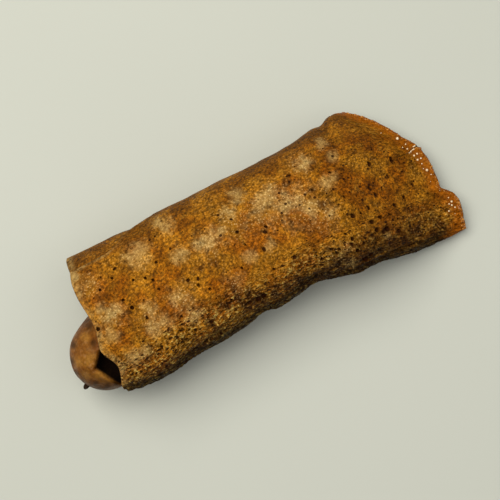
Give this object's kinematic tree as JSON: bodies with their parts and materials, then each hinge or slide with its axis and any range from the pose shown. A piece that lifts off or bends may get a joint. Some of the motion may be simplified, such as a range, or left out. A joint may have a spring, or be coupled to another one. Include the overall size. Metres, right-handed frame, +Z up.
{
  "type": "sausage galette",
  "caption": "Buckwheat galette rolled round a grilled sausage, lying on its side: rounded sausage tip in the open mouth, flat flared lacy rim at the far end.",
  "frame": {"origin": "middle of the underside of the whole roll's box, on the surface it lies on", "axes": "+X along the roll from the sausage's tip to the flat flared rim, +Y across the roll towards the side where the outer flap ends, +Z up"},
  "size_m": [0.161, 0.0622, 0.0408],
  "materials": {
    "browned_batter": "matt browned buckwheat batter with pores, blisters and a glossy amber rim",
    "grilled_casing": "smooth, slightly shiny grilled sausage casing"
  },
  "bodies": {
    "root": {"galette": "browned_batter", "sausage": "grilled_casing"}
  },
  "joints": []
}
